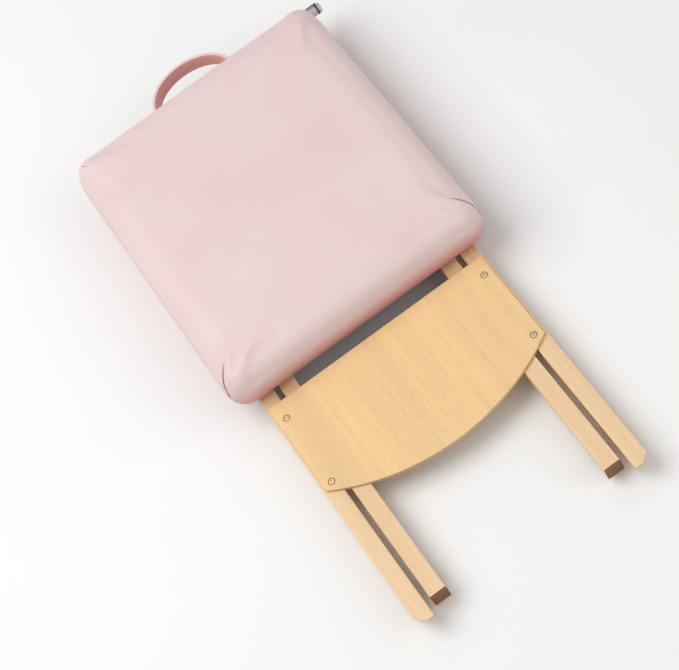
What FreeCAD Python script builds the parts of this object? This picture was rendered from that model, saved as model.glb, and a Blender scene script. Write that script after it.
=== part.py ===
"""Folding manicure table, folded flat: padded top, scissor legs, foot bar and carrying strap.

Millimetres. +Z up, +Y towards the carrying strap, legs stick out towards -Y.
Everything is drawn with y = 0 on the strap end of the top, then moved so that the origin is
at the bottom centre of the whole folded table.
"""
import FreeCAD, Part
import math
import os

V = FreeCAD.Vector
os.makedirs("parts", exist_ok=True)

# ---------------------------------------------------------------- driving dimensions
TOP_W = 384.0            # padded top, across
TOP_D = 458.0            # padded top, strap end to leg end
TOP_T = 60.0             # padded top, thickness
TOP_CORNER_R = 30.0      # plan corner radius
TOP_EDGE_R = 20.0        # rounding of the upper edge
TOP_LOWER_R = 18.0       # rounding of the lower edge
COVER_T = 1.5            # vinyl
SIDE_WAD = 10.5          # wadding between the cover and the rails
RAIL_W = 30.0            # frame rails, width seen from above
END_RAIL_W = 44.0        # end rails, which carry the brackets
RAIL_H = 22.0
RAIL_EASE = 8.0          # rounding of the frame's lower outer edge
BOARD_T = 9.0
FLANGE_IN = 14.0         # how far the cover is turned under the rails

LEG_W = 22.0             # section of every leg, across
LEG_H = 24.0             # and upright, when folded
LEG_ROUND = 1.5
OUTER_X = 151.2          # centre of an outer leg
LEG_GAP = 7.2            # between an outer and an inner leg
PIVOT_IN = 28.0          # inner leg pivot, in from the strap end
CROSS_IN = 424.5         # crossing point, in from the strap end
INNER_FOOT = 382.5       # crossing to the foot of an inner leg
OPEN_DEG = 61.0          # angle of every leg to the floor when open
LEG_TO_TOP = 2.0         # air between folded legs and the underside
SEAT_GAP = 1.0           # air between a seated outer leg and the underside
NOSE_DEG = 30.0          # the outer leg's upper end is cut back underneath
NOSE_CUT_X = 13.0        # its outer corner is cut off, across
NOSE_CUT_Y = 10.5        # and along the leg
SEAT_BACK = 14.0         # plunger hole, back from the full reach
SEAT_UP = 5.0            # and above the leg's middle, when folded

SOLE_T = 2.0
BAR_T = 6.0              # steel foot bar
BAR_W = 44.0
BAR_GAP = 1.0            # air between foot bar and legs
TONGUE_T = 6.0
FOOT_PIN_R = 3.0
CROSS_BOLT_R = 4.0
PIVOT_PIN_R = 3.0
RUN = 0.05               # radial clearance of a turning fit
SIDE = 0.3               # side clearance of washers

PANEL_T = 4.0            # plywood panel across the outer legs
PANEL_IN = 3.5           # in from the outer face of the legs
PANEL_START = 11.0       # beyond the leg end of the top
PANEL_SIDE = 154.5       # straight side edge ends here, beyond the top
PANEL_MID = 203.0        # deepest point of its bowed edge, beyond the top

STRAP_W = 22.0
STRAP_T = 4.5
STRAP_HALF = 62.0        # half span of the strap's arch
STRAP_REACH = 51.0
STRAP_X = 6.0            # the arch sits a little off centre
STRAP_FOOT = 26.0

PEG_X = 184.5            # outer face of the peg's bracket
PEG_R = 7.0
PEG_LEN = 20.5

# ---------------------------------------------------------------- derived
LEG_Z0 = SOLE_T + BAR_T + BAR_GAP
ZC = LEG_Z0 + LEG_H / 2
LEG_Z1 = LEG_Z0 + LEG_H
UNDER = LEG_Z1 + LEG_TO_TOP
TOP_Z = UNDER + TOP_T
INNER_X = OUTER_X - LEG_W - LEG_GAP
TH = math.radians(OPEN_DEG)
Y_PIVOT = -PIVOT_IN
Y_CROSS = -CROSS_IN
ARM_UP = CROSS_IN - PIVOT_IN
Y_INNER_END = Y_CROSS - INNER_FOOT
ARM_DOWN = INNER_FOOT - (ZC - LEG_H / 2 * math.cos(TH)) / math.sin(TH)
Y_FOOT = Y_CROSS + ARM_DOWN
OUTER_IN_FACE = OUTER_X - LEG_W / 2
OUTER_OUT_FACE = OUTER_X + LEG_W / 2
INNER_IN_FACE = INNER_X - LEG_W / 2
INNER_OUT_FACE = INNER_X + LEG_W / 2

# the nose of an outer leg comes up just under the top when the table is open
SEAT_RISE = UNDER - SEAT_GAP - ZC
REACH = ARM_UP + (SEAT_RISE - LEG_H / 2 * math.cos(TH)) / math.sin(TH)
NOSE_BACK = LEG_H * math.tan(math.radians(NOSE_DEG))
Y_OUTER_END = Y_CROSS - REACH
# plunger hole: in the folded leg, and where it ends up under the top when open
Y_SEAT_HOLE = Y_CROSS - (ARM_UP - SEAT_BACK)
Z_SEAT_HOLE = ZC + SEAT_UP
Y_SEAT = Y_PIVOT - (2 * ARM_UP - SEAT_BACK) * math.cos(TH) + SEAT_UP * math.sin(TH)
Z_SEAT = ZC - SEAT_BACK * math.sin(TH) + SEAT_UP * math.cos(TH)

PEG_END = PEG_X + PEG_LEN
X_SHIFT = -(PEG_END - TOP_W / 2) / 2
Y_SHIFT = -(STRAP_REACH + Y_OUTER_END) / 2
SHIFT = V(X_SHIFT, Y_SHIFT, 0)

saved = []


def save(name, shape):
    """Move a finished piece into the shared frame and write it."""
    out = shape.removeSplitter() if shape.ShapeType != "Compound" else shape.copy()
    out.translate(SHIFT)
    out.exportStep("parts/%s.step" % name)
    saved.append((name, out))


def block(x0, x1, y0, y1, z0, z1):
    return Part.makeBox(x1 - x0, y1 - y0, z1 - z0, V(x0, y0, z0))


def rod(r, p, d, length):
    return Part.makeCylinder(r, length, V(*p), V(*d))


def fuse(shapes):
    out = shapes[0]
    for s in shapes[1:]:
        out = out.fuse(s)
    return out


def along(shape, axis):
    """Edges of a box that run along an axis."""
    return [e for e in shape.Edges
            if isinstance(e.Curve, Part.Line) and abs(abs(getattr(e.Curve.Direction, axis)) - 1) < 1e-6]


def mirror_x(shape):
    return shape.mirror(V(0, 0, 0), V(1, 0, 0))


def cut_all(shape, tools):
    for t in tools:
        shape = shape.cut(t)
    return shape


def prism_x(points, x0, x1):
    """Extrude a polygon of (y, z) points from x0 to x1."""
    pts = [V(x0, y, z) for y, z in points]
    face = Part.Face(Part.makePolygon(pts + pts[:1]))
    return face.extrude(V(x1 - x0, 0, 0))


def slab(inset, z0, z1, corner):
    """A plain slab with rounded plan corners, inset from the outline of the top."""
    s = block(-TOP_W / 2 + inset, TOP_W / 2 - inset, -TOP_D + inset, -inset, z0, z1)
    return s.makeFillet(corner, along(s, "z"))


def domed_slab(inset, z0, z1, corner, upper, lower):
    s = slab(inset, z0, z1, corner)
    top = [e for e in s.Edges if min(v.Z for v in e.Vertexes) > z1 - 1e-6]
    s = s.makeFillet(upper, top)
    if lower > 0:
        low = [e for e in s.Edges if max(v.Z for v in e.Vertexes) < z0 + 1e-6]
        s = s.makeFillet(lower, low)
    return s


def screw(p, d, length, r, head_r, head_h, grow=0.0):
    """Pan-head screw: p is under the head, d the way the shank goes."""
    d = V(*d)
    shank = Part.makeCylinder(r + grow, length + grow, V(*p), d)
    if grow:
        return shank
    head = Part.makeCylinder(head_r, head_h, V(*p) - d * head_h, d)
    rim = [e for e in head.Edges if abs((e.CenterOfMass - (V(*p) - d * head_h)).dot(d)) < 1e-6
           and e.Closed and isinstance(e.Curve, Part.Circle)]
    head = head.makeFillet(head_h * 0.45, rim)
    return shank.fuse(head)


def cross_slot(p, d, size):
    """Cross recess in a screw head whose crown is at p; d is the way the shank goes."""
    arms = []
    for w, l in ((size * 0.24, size), (size, size * 0.24)):
        b = Part.makeBox(w, l, size * 0.3, V(-w / 2, -l / 2, 0))
        b.Placement = FreeCAD.Placement(V(*p), FreeCAD.Rotation(V(0, 0, 1), V(*d)))
        arms.append(b)
    return arms[0].fuse(arms[1])


def screws(spots, d, length, r=1.75, head_r=3.6, head_h=2.0):
    solids = [screw(p, d, length, r, head_r, head_h) for p in spots]
    tools = [screw(p, d, length, r, head_r, head_h, grow=0.03) for p in spots]
    return Part.makeCompound(solids), tools


def pair(right):
    return [right, mirror_x(right)]


# ---------------------------------------------------------------- padded top
RAIL_Z0 = UNDER + COVER_T
RAIL_Z1 = RAIL_Z0 + RAIL_H
BOARD_Z1 = RAIL_Z1 + BOARD_T
RAIL_OUT = COVER_T + SIDE_WAD          # outer face of the rails, in from the outline
RX = TOP_W / 2 - RAIL_OUT

outer = domed_slab(0, UNDER, TOP_Z, TOP_CORNER_R, TOP_EDGE_R, TOP_LOWER_R)
inner = domed_slab(COVER_T, UNDER + COVER_T, TOP_Z - COVER_T, TOP_CORNER_R - COVER_T,
                   TOP_EDGE_R - COVER_T, TOP_LOWER_R - COVER_T)
window = slab(RAIL_OUT + FLANGE_IN, UNDER - 1, UNDER + COVER_T + 1, 10)
pad_cover = outer.cut(inner).cut(window)



def eased(shape, z):
    """Round the lower outer edges of the frame, so that the cover can turn under it."""
    return shape.makeFillet(RAIL_EASE, [e for e in shape.Edges if max(v.Z for v in e.Vertexes) < z + 1e-6])


frame_block = eased(slab(RAIL_OUT, RAIL_Z0, BOARD_Z1, TOP_CORNER_R - RAIL_OUT), RAIL_Z0)
pad_foam = inner.cut(frame_block)
top_board = slab(RAIL_OUT, RAIL_Z1, BOARD_Z1, TOP_CORNER_R - RAIL_OUT)

rail_body = eased(slab(RAIL_OUT, RAIL_Z0, RAIL_Z1, TOP_CORNER_R - RAIL_OUT), RAIL_Z0)
end_cut = RAIL_OUT + END_RAIL_W
handle_end_rail = rail_body.common(block(-RX, RX, -end_cut, -RAIL_OUT, RAIL_Z0, RAIL_Z1))
far_end_rail = rail_body.common(block(-RX, RX, -TOP_D + RAIL_OUT, -TOP_D + end_cut, RAIL_Z0, RAIL_Z1))
side_rail_right = rail_body.common(block(RX - RAIL_W, RX, -TOP_D + end_cut, -end_cut, RAIL_Z0, RAIL_Z1))
underside_cloth = slab(RAIL_OUT + FLANGE_IN + 0.5, UNDER, UNDER + COVER_T, 9.5)

# ---------------------------------------------------------------- legs
def leg_bar(xc, y0, y1):
    b = block(xc - LEG_W / 2, xc + LEG_W / 2, y0, y1, LEG_Z0, LEG_Z1)
    return b.makeFillet(LEG_ROUND, along(b, "y"))


def round_end(xc, y):
    return rod(LEG_H / 2, (xc - LEG_W / 2 - 1, y, ZC), (1, 0, 0), LEG_W + 2)


def profile(xc, pts):
    return prism_x(pts, xc - LEG_W / 2 - 1, xc + LEG_W / 2 + 1)


def nose_corner():
    """Slanted block that takes the outer corner off an outer leg's end."""
    a = V(OUTER_OUT_FACE, Y_OUTER_END + NOSE_CUT_Y, LEG_Z1)
    b = V(OUTER_OUT_FACE - NOSE_CUT_X, Y_OUTER_END, LEG_Z1)
    t = (b - a).normalize()
    out = V(-t.y, t.x, 0)
    back = -out * NOSE_BACK - V(0, 0, LEG_H)
    start = (a + b) * 0.5 - back * 0.2
    pts = [start - t * 60, start + t * 60, start + t * 60 + out * 60, start - t * 60 + out * 60]
    return Part.Face(Part.makePolygon(pts + pts[:1])).extrude(back * 1.4)


outer_profile = profile(OUTER_X, [(Y_FOOT, LEG_Z0), (Y_FOOT, LEG_Z1),
                                  (Y_OUTER_END, LEG_Z1), (Y_OUTER_END + NOSE_BACK, LEG_Z0)])
outer_leg = leg_bar(OUTER_X, Y_OUTER_END - 5, Y_FOOT + LEG_H).common(
    outer_profile.fuse(round_end(OUTER_X, Y_FOOT))).cut(nose_corner())
slot_r = LEG_H / 2 + 2
tongue_slot = block(OUTER_X - TONGUE_T / 2 - SIDE, OUTER_X + TONGUE_T / 2 + SIDE,
                    Y_FOOT - slot_r, Y_FOOT + LEG_H, LEG_Z0 - 1, LEG_Z1 + 1)
outer_leg = cut_all(outer_leg, [
    tongue_slot,
    rod(FOOT_PIN_R, (OUTER_X - LEG_W, Y_FOOT, ZC), (1, 0, 0), 2 * LEG_W),
    rod(CROSS_BOLT_R, (OUTER_X - LEG_W, Y_CROSS, ZC), (1, 0, 0), 2 * LEG_W)])

HEAD_R, HEAD_H = 8.0, 4.0
head_x = OUTER_OUT_FACE - 0.5 - HEAD_H
outer_leg = outer_leg.cut(rod(HEAD_R + 0.2, (head_x, Y_CROSS, ZC), (1, 0, 0), 10))
PLUNGER_R = 2.9
outer_leg = outer_leg.cut(
    rod(PLUNGER_R + 0.3, (OUTER_OUT_FACE - 14, Y_SEAT_HOLE, Z_SEAT_HOLE), (1, 0, 0), 20))

inner_profile = profile(INNER_X, [(Y_PIVOT, LEG_Z0), (Y_PIVOT, LEG_Z1),
                                  (Y_INNER_END, LEG_Z1), (Y_INNER_END, LEG_Z0)])
inner_leg = leg_bar(INNER_X, Y_INNER_END, Y_PIVOT + LEG_H).common(
    inner_profile.fuse(round_end(INNER_X, Y_PIVOT)))
inner_leg = cut_all(inner_leg, [
    rod(PIVOT_PIN_R + RUN, (INNER_X - LEG_W, Y_PIVOT, ZC), (1, 0, 0), 2 * LEG_W),
    rod(CROSS_BOLT_R + RUN, (INNER_X - LEG_W, Y_CROSS, ZC), (1, 0, 0), 2 * LEG_W)])

# crossing hardware, right-hand side
WASHER_T = 1.6
NUT_H = 6.5
wash_x = INNER_IN_FACE - SIDE
cross_bolt = rod(CROSS_BOLT_R, (wash_x - WASHER_T - NUT_H - 2, Y_CROSS, ZC), (1, 0, 0),
                 head_x - (wash_x - WASHER_T - NUT_H - 2))
bolt_head = rod(HEAD_R, (head_x, Y_CROSS, ZC), (1, 0, 0), HEAD_H)
hex_recess = Part.Face(Part.makePolygon(
    [V(head_x + HEAD_H, Y_CROSS + 2.9 * math.cos(math.radians(60 * k)),
       ZC + 2.9 * math.sin(math.radians(60 * k))) for k in range(7)])).extrude(V(-2.5, 0, 0))
cross_bolt = cross_bolt.fuse(bolt_head).cut(hex_recess)
spacer_washer = rod(11, (INNER_OUT_FACE + SIDE, Y_CROSS, ZC), (1, 0, 0), LEG_GAP - SIDE).cut(
    rod(CROSS_BOLT_R, (INNER_OUT_FACE - 1, Y_CROSS, ZC), (1, 0, 0), LEG_GAP + 2))
nut_washer = rod(9, (wash_x - WASHER_T, Y_CROSS, ZC), (1, 0, 0), WASHER_T).cut(
    rod(CROSS_BOLT_R, (wash_x - WASHER_T - 1, Y_CROSS, ZC), (1, 0, 0), WASHER_T + 2))
nut_r = 13.0 / math.sqrt(3)
cross_nut = Part.Face(Part.makePolygon(
    [V(wash_x - WASHER_T, Y_CROSS + nut_r * math.cos(math.radians(60 * k)),
       ZC + nut_r * math.sin(math.radians(60 * k))) for k in range(7)])).extrude(V(-NUT_H, 0, 0))
cross_nut = cross_nut.cut(
    rod(CROSS_BOLT_R, (wash_x - WASHER_T - NUT_H - 1, Y_CROSS, ZC), (1, 0, 0), NUT_H + 2))

# ---------------------------------------------------------------- panel across the outer legs
EDGE = OUTER_OUT_FACE - PANEL_IN
corner_a, corner_b = V(-EDGE, -TOP_D - PANEL_SIDE, LEG_Z1), V(EDGE, -TOP_D - PANEL_SIDE, LEG_Z1)
near_a, near_b = V(-EDGE, -TOP_D - PANEL_START, LEG_Z1), V(EDGE, -TOP_D - PANEL_START, LEG_Z1)
outline = [Part.makeLine(near_a, corner_a),
           Part.Arc(corner_a, V(0, -TOP_D - PANEL_MID, LEG_Z1), corner_b).toShape(),
           Part.makeLine(corner_b, near_b), Part.makeLine(near_b, near_a)]
leg_panel = Part.Face(Part.Wire(outline)).extrude(V(0, 0, PANEL_T))
leg_panel = leg_panel.makeFillet(0.8, [e for e in leg_panel.Edges
                                       if min(v.Z for v in e.Vertexes) > LEG_Z1 + PANEL_T - 1e-6])

PS_X = OUTER_X - 4
PS_HEAD_R, PS_HEAD_H, PS_SUNK = 3.8, 2.0, 1.6
panel_spots = [(PS_X, -TOP_D - s, LEG_Z1 + PANEL_T - PS_SUNK) for s in (37, 148)]
ps_right, ps_tools = screws(panel_spots, (0, 0, -1), PANEL_T + 12, 2.1, PS_HEAD_R, PS_HEAD_H)
slotted = [s.cut(cross_slot((p[0], p[1], p[2] + PS_HEAD_H), (0, 0, -1), 3.8))
           for s, p in zip(ps_right.Solids, panel_spots)]
panel_screws = Part.makeCompound(slotted + [mirror_x(s) for s in slotted])
# each head sits in a slightly wider sunk hole
panel_tools = ps_tools + [rod(PS_HEAD_R + 1, p, (0, 0, 1), PS_SUNK + 1) for p in panel_spots]
leg_panel = cut_all(leg_panel, panel_tools + [mirror_x(t) for t in panel_tools])
outer_leg = cut_all(outer_leg, ps_tools)

# ---------------------------------------------------------------- inner leg rails
inner_rails = []
inner_rail_y = (-118.0, -TOP_D - 92)
for y in inner_rail_y:
    r = block(-INNER_IN_FACE, INNER_IN_FACE, y - LEG_H, y, LEG_Z0, LEG_Z1)
    inner_rails.append(r.makeFillet(LEG_ROUND, along(r, "x")))
ir_spots = [(INNER_OUT_FACE, y - LEG_H / 2, ZC) for y in inner_rail_y]
ir_right, ir_tools = screws(ir_spots, (-1, 0, 0), LEG_W + 22, 2.0, 4.5, 2.4)
inner_rail_screws = Part.makeCompound(ir_right.Solids + [mirror_x(s) for s in ir_right.Solids])
inner_leg = cut_all(inner_leg, ir_tools)
ir_all = ir_tools + [mirror_x(t) for t in ir_tools]
inner_rails = [cut_all(r, ir_all) for r in inner_rails]

# bumpers that keep the folded table level
BUMP_Y = Y_INNER_END + 34
bumper = rod(9, (INNER_X, BUMP_Y, 0), (0, 0, 1), LEG_Z0)
bumper = bumper.makeFillet(1.5, [e for e in bumper.Edges if e.Closed and e.CenterOfMass.z < 0.01])
bump_peg = rod(3, (INNER_X, BUMP_Y, LEG_Z0), (0, 0, 1), 9)
bumper = bumper.fuse(bump_peg)
inner_leg = inner_leg.cut(rod(3.03, (INNER_X, BUMP_Y, LEG_Z0 - 1), (0, 0, 1), 10.03))

# ---------------------------------------------------------------- foot bar, on the floor
BAR_Z0, BAR_Z1 = SOLE_T, SOLE_T + BAR_T
foot_bar = block(-OUTER_OUT_FACE, OUTER_OUT_FACE, Y_FOOT - BAR_W / 2, Y_FOOT + BAR_W / 2, BAR_Z0, BAR_Z1)
foot_bar = foot_bar.makeFillet(8, along(foot_bar, "z"))
TONGUE_R = 9.0
tongue = rod(TONGUE_R, (OUTER_X - TONGUE_T / 2, Y_FOOT, ZC), (1, 0, 0), TONGUE_T)
tongue = tongue.fuse(block(OUTER_X - TONGUE_T / 2, OUTER_X + TONGUE_T / 2,
                           Y_FOOT - TONGUE_R, Y_FOOT + TONGUE_R, BAR_Z1, ZC))
tongue = tongue.cut(rod(FOOT_PIN_R + RUN, (OUTER_X - LEG_W, Y_FOOT, ZC), (1, 0, 0), 2 * LEG_W))
foot_pin = rod(FOOT_PIN_R, (OUTER_X - LEG_W / 2 + 0.5, Y_FOOT, ZC), (1, 0, 0), LEG_W - 1)
sole = block(OUTER_X - 40, OUTER_OUT_FACE - 3, Y_FOOT - BAR_W / 2 + 3, Y_FOOT + BAR_W / 2 - 3, 0, SOLE_T)
sole = sole.makeFillet(6, along(sole, "z"))

# ---------------------------------------------------------------- pivot brackets under the strap end
BR_T = 1.5
EAR_GAP = 1.0
ear_in = INNER_IN_FACE - EAR_GAP - BR_T
ear_out = INNER_OUT_FACE + EAR_GAP
ear_r = 11.0


def ear(x):
    plate = rod(ear_r, (x, Y_PIVOT, ZC), (1, 0, 0), BR_T)
    return plate.fuse(block(x, x + BR_T, Y_PIVOT - ear_r, Y_PIVOT + ear_r, ZC, UNDER))


base_x0 = ear_in - 26
pivot_base = block(base_x0, ear_out + BR_T, Y_PIVOT - ear_r, Y_PIVOT + ear_r, UNDER - BR_T, UNDER)
pivot_bracket = fuse([pivot_base, ear(ear_in), ear(ear_out)])
pivot_bracket = pivot_bracket.cut(rod(PIVOT_PIN_R, (0, Y_PIVOT, ZC), (1, 0, 0), 200))
RIVET_T = 1.5
pivot_pin = fuse([
    rod(PIVOT_PIN_R, (ear_in - RIVET_T, Y_PIVOT, ZC), (1, 0, 0), ear_out + BR_T - ear_in + 2 * RIVET_T),
    rod(5.5, (ear_in - RIVET_T, Y_PIVOT, ZC), (1, 0, 0), RIVET_T),
    rod(5.5, (ear_out + BR_T, Y_PIVOT, ZC), (1, 0, 0), RIVET_T)])
piv_spots = [(base_x0 + 9, Y_PIVOT + dy, UNDER - BR_T) for dy in (-6.0, 6.0)]
piv_right, piv_tools = screws(piv_spots, (0, 0, 1), BR_T + 16)

# ---------------------------------------------------------------- seat brackets for the open outer legs
SEAT_X = OUTER_OUT_FACE + EAR_GAP
SEAT_HALF = 15.0
seat_r = 10.0
seat_ear = rod(seat_r, (SEAT_X, Y_SEAT, Z_SEAT), (1, 0, 0), 2).fuse(
    block(SEAT_X, SEAT_X + 2, Y_SEAT - seat_r, Y_SEAT + seat_r, Z_SEAT, UNDER))
seat_base = block(SEAT_X, SEAT_X + 19, Y_SEAT - SEAT_HALF, Y_SEAT + SEAT_HALF, UNDER - 2, UNDER)
seat_bracket = seat_ear.fuse(seat_base).cut(rod(PLUNGER_R, (SEAT_X - 5, Y_SEAT, Z_SEAT), (1, 0, 0), 20))
plunger = fuse([
    rod(PLUNGER_R, (SEAT_X, Y_SEAT, Z_SEAT), (1, 0, 0), 2),
    rod(5.0, (SEAT_X + 2, Y_SEAT, Z_SEAT), (1, 0, 0), 8),
    rod(6.5, (SEAT_X + 10, Y_SEAT, Z_SEAT), (1, 0, 0), 7)])
plunger = plunger.makeFillet(1.2, [e for e in plunger.Edges if e.Closed
                                   and abs(e.CenterOfMass.x - SEAT_X - 17) < 1e-6])
seat_spots = [(SEAT_X + 12, Y_SEAT + dy, UNDER - 2) for dy in (-10.5, 10.5)]
seat_right, seat_tools = screws(seat_spots, (0, 0, 1), 2 + 16, head_r=3.2)

# ---------------------------------------------------------------- carrying strap
STRAP_Z0 = UNDER + 9
STRAP_Z1 = STRAP_Z0 + STRAP_W


def half_ellipse(rx, ry):
    """Upper half of an ellipse standing on the end face of the top."""
    curve = Part.Ellipse(V(STRAP_X, 0, STRAP_Z0), max(rx, ry), min(rx, ry))
    arc = Part.ArcOfEllipse(curve, 0, math.pi).toShape()
    a, b = arc.Vertexes[0].Point, arc.Vertexes[-1].Point
    return Part.Face(Part.Wire([arc, Part.makeLine(b, a)])).extrude(V(0, 0, STRAP_W))


arch = half_ellipse(STRAP_HALF, STRAP_REACH).cut(
    half_ellipse(STRAP_HALF - STRAP_T, STRAP_REACH - STRAP_T))
feet = [block(STRAP_X + s * (STRAP_HALF - STRAP_T / 2) - (STRAP_FOOT if s < 0 else 0),
              STRAP_X + s * (STRAP_HALF - STRAP_T / 2) + (STRAP_FOOT if s > 0 else 0),
              0, STRAP_T, STRAP_Z0, STRAP_Z1) for s in (-1, 1)]
handle_strap = fuse([arch] + feet)
plate_in = STRAP_HALF + 4
anchor_plates = []
anchor_spots = []
for s in (-1, 1):
    x0 = STRAP_X + s * plate_in
    x1 = STRAP_X + s * (STRAP_HALF + STRAP_FOOT - 4)
    p = block(min(x0, x1), max(x0, x1), STRAP_T, STRAP_T + 1.5, STRAP_Z0 + 2, STRAP_Z1 - 2)
    anchor_plates.append(p.makeFillet(3, along(p, "y")))
    anchor_spots += [((x0 + x1) / 2, STRAP_T + 1.5, z) for z in (STRAP_Z0 + 4, STRAP_Z0 + 11.5)]
anchor_screws, anchor_tools = screws(anchor_spots, (0, -1, 0), STRAP_T + 1.5 + RAIL_OUT + 18, 1.6, 3.0, 1.6)
handle_strap = cut_all(handle_strap, anchor_tools)
anchor_plates = [cut_all(p, anchor_tools) for p in anchor_plates]

# ---------------------------------------------------------------- side peg at one corner
PEG_Y, PEG_Z = -1.0, UNDER + 16
peg_plate = block(128, PEG_X, 0, 2.5, PEG_Z - 8, PEG_Z + 8).fuse(
    block(PEG_X - 2.5, PEG_X, -6.0, 2.5, PEG_Z - 8, PEG_Z + 8))
peg_spots = [(x, 2.5, PEG_Z) for x in (136, 152)]
peg_screws, peg_tools = screws(peg_spots, (0, -1, 0), 2.5 + RAIL_OUT + 18, 1.75, 3.2, 1.8)
side_peg_bracket = cut_all(peg_plate, peg_tools)
side_peg = rod(4.0, (PEG_X, PEG_Y, PEG_Z), (1, 0, 0), PEG_LEN - 3)
peg_cap = rod(PEG_R, (PEG_X + 2, PEG_Y, PEG_Z), (1, 0, 0), PEG_LEN - 2)
peg_cap = peg_cap.makeFillet(2.5, [e for e in peg_cap.Edges if e.Closed
                                   and abs(e.CenterOfMass.x - PEG_END) < 1e-6])
ring_x = PEG_X + 13
groove = rod(PEG_R + 1, (ring_x, PEG_Y, PEG_Z), (1, 0, 0), 2.5).cut(
    rod(PEG_R - 1, (ring_x - 1, PEG_Y, PEG_Z), (1, 0, 0), 5))
peg_ring = rod(PEG_R + 0.3, (ring_x, PEG_Y, PEG_Z), (1, 0, 0), 2.5).cut(
    rod(PEG_R - 1, (ring_x - 1, PEG_Y, PEG_Z), (1, 0, 0), 5))
peg_cap = peg_cap.cut(groove).cut(side_peg)

# stiff wire along the bracket's upper edge, which keeps a loop on the peg
WIRE_R = 0.8
wire_z = PEG_Z + 8 + WIRE_R
keeper_wire = rod(WIRE_R, (PEG_X - 16, 1.2, wire_z), (1, 0, 0), PEG_LEN + 12)

# ---------------------------------------------------------------- holes through the top's pieces
under_tools = piv_tools + [mirror_x(t) for t in piv_tools] + seat_tools + [mirror_x(t) for t in seat_tools]
end_tools = anchor_tools + peg_tools
pivot_bracket = cut_all(pivot_bracket, piv_tools)
seat_bracket = cut_all(seat_bracket, seat_tools)
pad_cover = cut_all(pad_cover, under_tools + end_tools)
pad_foam = cut_all(pad_foam, under_tools + end_tools)
underside_cloth = cut_all(underside_cloth, under_tools)
handle_end_rail = cut_all(handle_end_rail, under_tools + end_tools)
far_end_rail = cut_all(far_end_rail, under_tools)
side_rail_right = cut_all(side_rail_right, under_tools)

# ---------------------------------------------------------------- write everything
save("pad_cover", pad_cover)
save("pad_foam", pad_foam)
save("top_board", top_board)
save("handle_end_rail", handle_end_rail)
save("far_end_rail", far_end_rail)
save("side_rail_right", side_rail_right)
save("side_rail_left", mirror_x(side_rail_right))
save("underside_cloth", underside_cloth)
save("pivot_bracket_right", pivot_bracket)
save("pivot_bracket_left", mirror_x(pivot_bracket))
save("pivot_pins", Part.makeCompound(pair(pivot_pin)))
save("pivot_bracket_screws", Part.makeCompound(piv_right.Solids + [mirror_x(s) for s in piv_right.Solids]))
save("seat_bracket_right", seat_bracket)
save("seat_bracket_left", mirror_x(seat_bracket))
save("seat_bracket_screws", Part.makeCompound(seat_right.Solids + [mirror_x(s) for s in seat_right.Solids]))
save("spring_plungers", Part.makeCompound(pair(plunger)))
save("handle_strap", handle_strap)
save("handle_anchor_plates", Part.makeCompound(anchor_plates))
save("handle_anchor_screws", anchor_screws)
save("side_peg_bracket", side_peg_bracket)
save("side_peg", side_peg)
save("side_peg_cap", peg_cap)
save("side_peg_ring", peg_ring)
save("side_peg_screws", peg_screws)
save("peg_keeper_wire", keeper_wire)

save("outer_leg_right", outer_leg)
save("outer_leg_left", mirror_x(outer_leg))
save("foot_pins", Part.makeCompound(pair(foot_pin)))
save("leg_panel", leg_panel)
save("panel_screws", panel_screws)
save("cross_bolts", Part.makeCompound(pair(cross_bolt)))
save("spacer_washers", Part.makeCompound(pair(spacer_washer)))
save("nut_washers", Part.makeCompound(pair(nut_washer)))
save("cross_nuts", Part.makeCompound(pair(cross_nut)))

save("inner_leg_right", inner_leg)
save("inner_leg_left", mirror_x(inner_leg))
save("inner_rail_upper", inner_rails[0])
save("inner_rail_lower", inner_rails[1])
save("inner_rail_screws", inner_rail_screws)
save("leg_bumpers", Part.makeCompound(pair(bumper)))

save("foot_bar", foot_bar.fuse(tongue).fuse(mirror_x(tongue)))
save("foot_soles", Part.makeCompound(pair(sole)))

bad = [n for n, s in saved if not s.isValid()]
print("nodes", len(saved), "not valid:", bad)
print("shift %.3f %.3f" % (X_SHIFT, Y_SHIFT))
print("frame y: pivot %.3f cross %.3f foot %.3f seat %.3f z %.3f"
      % (Y_PIVOT + Y_SHIFT, Y_CROSS + Y_SHIFT, Y_FOOT + Y_SHIFT, Y_SEAT + Y_SHIFT, ZC))
box = Part.makeCompound([s for n, s in saved]).BoundBox
print("box", [round(v, 3) for v in (box.XMin, box.XMax, box.YMin, box.YMax, box.ZMin, box.ZMax)])
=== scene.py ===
import math

import bmesh
import bpy
from bpy.props import FloatProperty, FloatVectorProperty, IntProperty, PointerProperty
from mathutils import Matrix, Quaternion, Vector


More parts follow.
